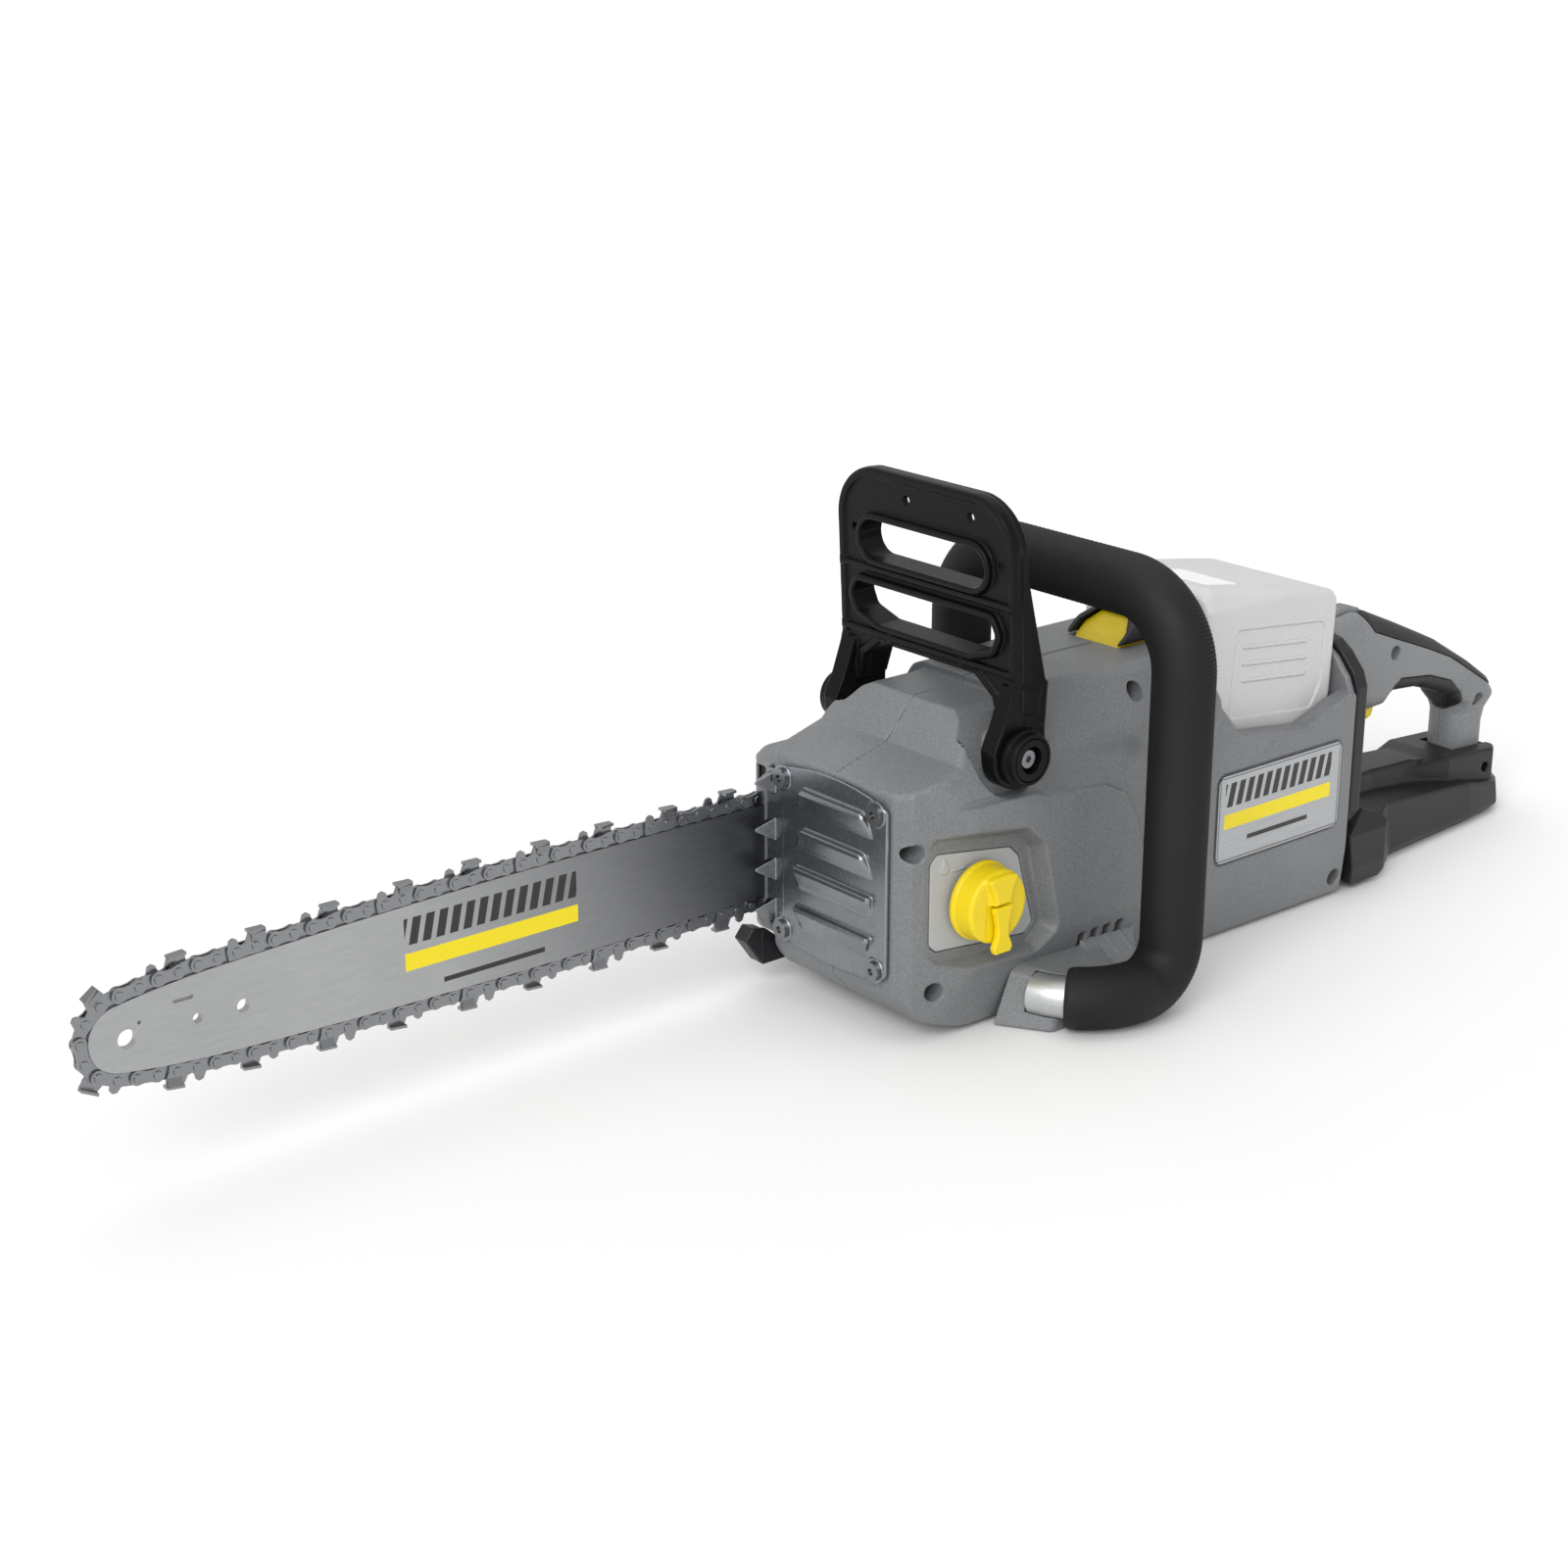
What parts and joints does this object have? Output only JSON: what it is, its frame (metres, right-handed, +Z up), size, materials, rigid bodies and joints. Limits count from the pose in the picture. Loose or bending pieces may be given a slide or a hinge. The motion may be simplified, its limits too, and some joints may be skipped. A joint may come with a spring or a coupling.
{
  "type": "battery chainsaw",
  "caption": "Battery-powered chainsaw with guide bar and cutting chain, folding hand guard, looped front handle, rear trigger handle, oil filler and removable battery.",
  "frame": {"origin": "on the ground plane under the motor and front handle, on the middle plane of the body", "axes": "+X towards the rear handle (the bar points along -X), +Y towards the guide bar side, +Z up"},
  "size_m": [0.8845, 0.2011, 0.2611],
  "materials": {
    "housing_grey": "fine textured, satin",
    "handle_grey": "satin",
    "black_plastic": "satin",
    "black_rubber": "knurled",
    "bar_steel": "satin ground",
    "chain_steel": "bright, oiled",
    "pressed_steel": "pressed sheet",
    "screw_steel": "zinc",
    "dark_steel": "dark",
    "copper": "enamelled copper",
    "cast_aluminium": "cast",
    "tank_plastic": "natural",
    "light_grey_plastic": "satin",
    "yellow_plastic": "semi gloss",
    "circuit_board": "coated",
    "pale_plastic": "satin",
    "cell_wrap": "shrink wrap",
    "plate_aluminium": "brushed"
  },
  "bodies": {
    "saw_body": {"left_housing": "housing_grey", "right_housing": "housing_grey", "body_screws": "dark_steel", "bumper_plate": "pressed_steel", "torx_screws": "screw_steel", "chain_catcher": "black_plastic", "bar_pad": "pressed_steel", "bar_studs": "screw_steel", "sprocket_cover": "housing_grey", "bar_nuts": "screw_steel", "tension_screw": "screw_steel", "tension_pin": "screw_steel", "guide_bar": "bar_steel", "drive_links": "chain_steel", "cutters_left": "chain_steel", "cutters_right": "chain_steel", "tie_straps": "chain_steel", "chain_rivets": "chain_steel", "motor_stator": "dark_steel", "stator_coils": "copper", "shaft_bearings": "screw_steel", "motor_bracket": "cast_aluminium", "brake_band": "dark_steel", "brake_spring": "screw_steel", "pivot_caps": "black_plastic", "front_handle_tube": "cast_aluminium", "front_handle_grip": "black_rubber", "handle_bracket": "housing_grey", "oil_tank": "tank_plastic", "oil_plate": "light_grey_plastic", "oil_pump": "cast_aluminium", "oil_hose": "black_rubber", "control_board": "circuit_board", "heat_sink": "cast_aluminium", "terminal_block": "black_plastic", "release_frame": "black_plastic", "release_spring": "screw_steel", "rear_frame": "black_plastic", "rear_base": "black_plastic", "corner_blocks": "black_plastic", "handle_left": "handle_grey", "handle_right": "handle_grey", "handle_grips": "black_rubber", "trigger_switch": "black_plastic", "name_plate": "plate_aluminium"},
    "guard": {"hand_guard": "black_plastic"},
    "rotor": {"motor_shaft": "screw_steel", "rotor_core": "dark_steel", "cooling_fan": "black_plastic", "brake_drum": "dark_steel", "drive_sprocket": "dark_steel"},
    "pump_rotor": {"pump_gear": "screw_steel"},
    "trigger_lever": {"trigger": "yellow_plastic"},
    "lock_lever": {"lock_off_lever": "handle_grey"},
    "battery": {"battery_shell": "pale_plastic", "battery_cells": "cell_wrap", "battery_contacts": "copper"},
    "battery_button": {"release_button": "yellow_plastic"},
    "filler_cap": {"oil_cap": "yellow_plastic"},
    "cap_wing": {"oil_cap_wing": "yellow_plastic"}
  },
  "joints": [
    {"name": "guard_tilt", "type": "hinge", "parent": "saw_body", "child": "guard", "pos_m": [-0.04, 0, 0.1375], "axis": [0, -1, 0], "range_deg": [0, 20]},
    {"name": "motor_spin", "type": "hinge", "parent": "saw_body", "child": "rotor", "pos_m": [-0.03469, 0, 0.0719], "axis": [0, 1, 0], "continuous": true, "deforming": ["drive_links", "cutters_left", "cutters_right", "tie_straps", "chain_rivets"]},
    {"name": "pump_spin", "type": "hinge", "parent": "saw_body", "child": "pump_rotor", "pos_m": [-0.04, 0.0315, 0.0619], "axis": [1, 0, 0], "continuous": true},
    {"name": "trigger_pull", "type": "hinge", "parent": "saw_body", "child": "trigger_lever", "pos_m": [0.262, 0, 0.098], "axis": [0, -1, 0], "range_deg": [0, 8], "stiffness_Nm_per_rad": 0.3, "springref_deg": -5.73},
    {"name": "lock_off_press", "type": "hinge", "parent": "saw_body", "child": "lock_lever", "pos_m": [0.265, 0, 0.134], "axis": [0, 1, 0], "range_deg": [0, 6], "stiffness_Nm_per_rad": 0.2, "springref_deg": -5.73},
    {"name": "battery_lift", "type": "slide", "parent": "saw_body", "child": "battery", "axis": [0, 0, 1], "range_m": [0, 0.13]},
    {"name": "battery_release", "type": "slide", "parent": "saw_body", "child": "battery_button", "axis": [0, 0, -1], "range_m": [0, 0.004], "stiffness_N_per_m": 600, "springref_m": -0.002, "deforming": ["release_spring"]},
    {"name": "cap_turn", "type": "hinge", "parent": "saw_body", "child": "filler_cap", "pos_m": [-0.0585, -0.067, 0.0675], "axis": [0, -1, 0], "range_deg": [0, 90]},
    {"name": "cap_wing_flip", "type": "hinge", "parent": "filler_cap", "child": "cap_wing", "pos_m": [-0.0585, -0.0716, 0.0671], "axis": [-1, 0, 0], "range_deg": [0, 90]}
  ],
  "couplings": [
    {"joint": "pump_spin", "follows": "motor_spin", "ratio": 0.083333}
  ]
}
